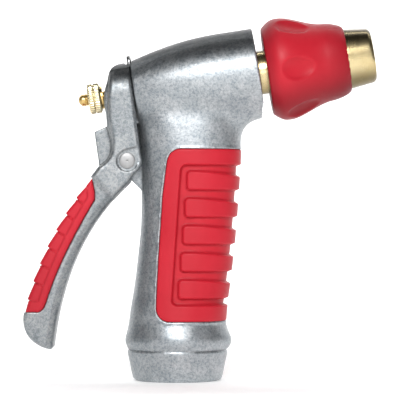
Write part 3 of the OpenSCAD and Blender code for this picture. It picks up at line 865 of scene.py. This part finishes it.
def clip_piece():
    """The wire loop, swept along its centre line of [side, up] points."""
    half = np.concatenate([curve((3.55, -6), (3.55, -3), (3.55, 1), (3.55, 3.0), 5),
                           curve((3.55, 3.3), (3.55, 4.3), (2.55, 4.3), (2.55, 5.6), 8),
                           arc((0, 11.15), 2.55, 0, 90, 12)])
    path = np.concatenate([half, half[-2::-1] * [-1, 1]])
    way = np.gradient(path, axis=0)
    out = np.c_[way[:, 1], -way[:, 0]] / np.linalg.norm(way, axis=1)[:, None]
    size = np.full(len(path), WIRE_R)
    size[[0, -1]] = WIRE_END_R
    w = np.linspace(0, 2 * np.pi, WIRE_SIDES, endpoint=False)
    c = path[:, None, :] + out[:, None, :] * (size[:, None] * np.cos(w))[:, :, None]
    u = CLIP_PLANE + size[:, None] * np.sin(w)
    rings = np.stack([u * COS - c[..., 1] * SIN, c[..., 0], AXIS_H + u * SIN + c[..., 1] * COS], -1)
    points = rings.reshape(-1, 3)
    i = np.arange(len(path) - 1)[:, None] * WIRE_SIDES
    j = np.arange(WIRE_SIDES)[None, :]
    k = (j + 1) % WIRE_SIDES
    faces = np.stack([i + j, i + WIRE_SIDES + j, i + WIRE_SIDES + k, i + k], -1).reshape(-1, 4)
    points = np.concatenate([points, [rings[0].mean(0), rings[-1].mean(0)]])
    first, last = len(points) - 2, len(points) - 1
    base = (len(path) - 1) * WIRE_SIDES
    caps = []
    for a in range(0, WIRE_SIDES, 2):
        b = (a + 2) % WIRE_SIDES
        caps.append([first, a, a + 1, b])
        caps.append([last, base + b, base + a + 1, base + a])
    add_piece("wire_clip", points, np.concatenate([faces, caps]), "clip", STEEL, ["hold_open_clip"])


def cast_pieces():
    """The five big shapes. Each has the corners of the box it is searched in, in mm."""
    fine = 0.5
    field_piece("cast_body", body_field, (-24, -20.2, -0.6), (32.5, 20.2, 135), fine,
                "body", BODY_CAST, ["body_casting"])
    field_piece("grip_rubber", insert_field, (-9, -18.5, 22), (25.5, 18.5, 88.6), fine * 0.9,
                "body", RED, ["grip_insert"])
    field_piece("trigger", lever_field, (-59.5, -12.4, 11), (-12.4, 12.4, 122.4), fine * 0.9,
                "trigger", CAST, ["trigger_lever"])
    field_piece("trigger_pad", pad_field, (-59.2, -12, 25), (-29, 12, 79), fine * 0.9,
                "trigger", PAD_RED, ["lever_pad"])
    field_piece("grip_knob", twist_field, (29, -20, 97), (70, 20, 141), fine * 0.9,
                "twist_nozzle", KNOB_RED, ["twist_grip"])


cast_pieces()
turned_pieces()
clip_piece()

# CAD nodes that keep their own shape, mostly out of sight
KEPT = {
    "hose_washer": BLACK, "stem_packing": BLACK, "neck_gasket": BLACK, "valve_washer": BLACK,
    "tip_o_ring": BLACK, "gland_bushing": BRASS, "gland_washer": BRASS, "spring_collar": BRASS,
    "thrust_washer": BRASS, "backing_washer": STEEL, "return_spring": STEEL, "grip_ring": STEEL}
for node_name, material in KEPT.items():
    node = bpy.data.objects[node_name]
    if not node.material_slots:
        node.data.materials.append(material)
    for slot in node.material_slots:
        slot.material = material


# --- Stage ---

# The floor and wall in metres: the floor's near edge, half width and the start and radius of its bend
FLOOR_NEAR, FLOOR_HALF, BEND_START, BEND_R, WALL_HIGH = -7.0, 7, 2.2, 0.6, 3.2
GLOW = 0.32
SKY_STRENGTH = 0.62

# The camera looks along +Y from a metre away, at the middle of the part
CAMERA_AT, LENS, SENSOR = (0.00855, -1.0, 0.0684), 237, 36


def stage():
    """A pale floor that curves up into a pale wall."""
    n = Nodes("paper")
    tone = n.ramp(n.noise(4, 2), (0.3, 0.86), (0.7, 0.89))
    rough = n.ramp(n.noise(30, 2), (0.3, 0.75), (0.7, 0.85))
    paper = n.finish(tone, rough, 0.0, 0.3)
    n.shader.inputs["Emission Color"].default_value = (1, 1, 1, 1)
    n.shader.inputs["Emission Strength"].default_value = GLOW
    bend = arc((BEND_START, BEND_R), BEND_R, -90, 0, 15)
    line = [(FLOOR_NEAR, 0.0), *bend, (BEND_START + BEND_R, WALL_HIGH)]
    points = [(side, y, z) for y, z in line for side in (-FLOOR_HALF, FLOOR_HALF)]
    faces = [(2 * i, 2 * i + 1, 2 * i + 3, 2 * i + 2) for i in range(len(line) - 1)]
    mesh = bpy.data.meshes.new("floor")
    mesh.from_pydata(points, [], faces)
    mesh.polygons.foreach_set("use_smooth", [True] * len(faces))
    mesh.materials.append(paper)
    floor = bpy.data.objects.new("floor", mesh)
    bpy.context.scene.collection.objects.link(floor)


def soft_light(name, place, look_at, size, power):
    """A lit panel, aimed from one place at another."""
    light = bpy.data.lights.new(name, "AREA")
    light.shape = "RECTANGLE"
    light.size, light.size_y = size
    light.energy = power
    lamp = bpy.data.objects.new(name, light)
    bpy.context.scene.collection.objects.link(lamp)
    lamp.location = place
    aim = np.array(look_at) - np.array(place)
    tilt = math.acos(-aim[2] / np.linalg.norm(aim))
    heading = math.atan2(aim[1], aim[0]) - math.pi / 2
    lamp.rotation_euler = (tilt, 0, heading)


def sky():
    """A sky that is bright ahead and behind, and dim above and at the sides."""
    world = bpy.data.worlds.new("studio")
    world.use_nodes = True
    tree = world.node_tree
    way = tree.nodes.new("ShaderNodeTexCoord").outputs["Generated"]
    split = tree.nodes.new("ShaderNodeSeparateXYZ")
    tree.links.new(way, split.inputs[0])

    def ramp(value, *stops):
        node = tree.nodes.new("ShaderNodeValToRGB")
        for element, (at, tone) in zip(node.color_ramp.elements, stops):
            element.position = at
            element.color = (tone, tone, tone * 1.02, 1)
        tree.links.new(value, node.inputs[0])
        return node.outputs[0]

    fore_aft = tree.nodes.new("ShaderNodeMath")
    fore_aft.operation = "ABSOLUTE"
    tree.links.new(split.outputs["Y"], fore_aft.inputs[0])
    ahead = ramp(fore_aft.outputs[0], (0.25, 0.20), (0.95, 1.0))
    above = ramp(split.outputs["Z"], (0.10, 1.0), (0.70, 0.22))
    product = tree.nodes.new("ShaderNodeMix")
    product.data_type = "RGBA"
    product.blend_type = "MULTIPLY"
    product.inputs[0].default_value = 1.0
    tree.links.new(ahead, product.inputs[6])
    tree.links.new(above, product.inputs[7])
    tree.links.new(product.outputs[2], tree.nodes["Background"].inputs["Color"])
    tree.nodes["Background"].inputs["Strength"].default_value = SKY_STRENGTH
    bpy.context.scene.world = world


def lights():
    """Two panels in front of the part, and one that lights the wall from above."""
    middle = (0.01, 0, 0.07)
    soft_light("key", (-0.10, -1.10, 0.75), middle, (0.6, 0.45), 11)
    soft_light("front", (0.15, -1.5, 0.02), middle, (0.5, 0.5), 2.2)
    soft_light("wall_wash", (0, 1.0, 2.2), (0, 2.8, 0.7), (3.5, 0.5), 85)
    bpy.context.scene.view_settings.view_transform = "Standard"


def camera():
    lens = bpy.data.cameras.new("camera")
    lens.sensor_width = SENSOR
    lens.lens = LENS
    lens.clip_end = 20
    seen = bpy.data.objects.new("camera", lens)
    bpy.context.scene.collection.objects.link(seen)
    seen.location = CAMERA_AT
    seen.rotation_euler = (math.pi / 2, 0, 0)
    bpy.context.scene.camera = seen


stage()
sky()
lights()
camera()
